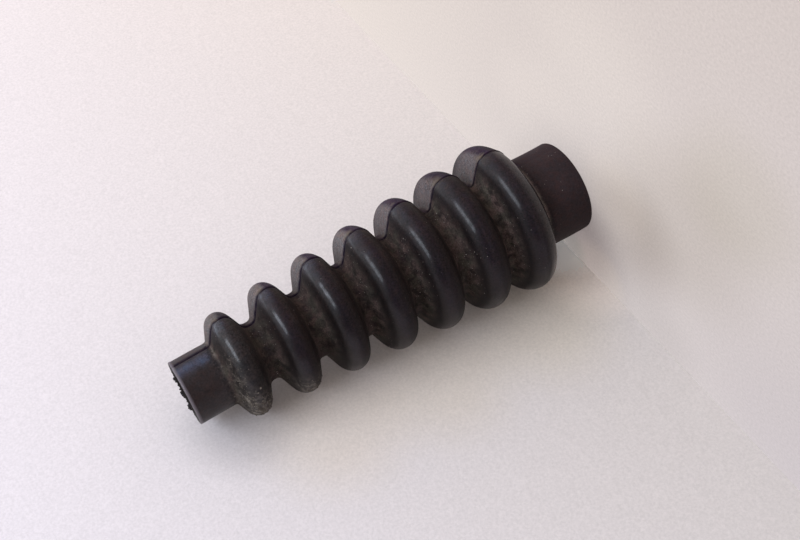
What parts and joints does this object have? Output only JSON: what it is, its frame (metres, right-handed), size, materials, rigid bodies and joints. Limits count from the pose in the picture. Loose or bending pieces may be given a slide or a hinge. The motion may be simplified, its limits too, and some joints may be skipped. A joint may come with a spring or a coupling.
{
  "type": "rubber cable boot",
  "caption": "Tapered rubber bellows boot that keeps dirt and water off a control cable where it leaves its adjuster.",
  "frame": {"origin": "centre of the cut face of the wide neck, on which the boot stands", "axes": "+Z along the boot's axis from the wide neck to the narrow neck; X and Y lie in the cut face, and the shape is the same all round"},
  "size_m": [0.0218, 0.0218, 0.06],
  "materials": {
    "black_rubber": "satin, dusty in the grooves"
  },
  "bodies": {
    "root": {"cable_boot": "black_rubber"}
  },
  "joints": []
}
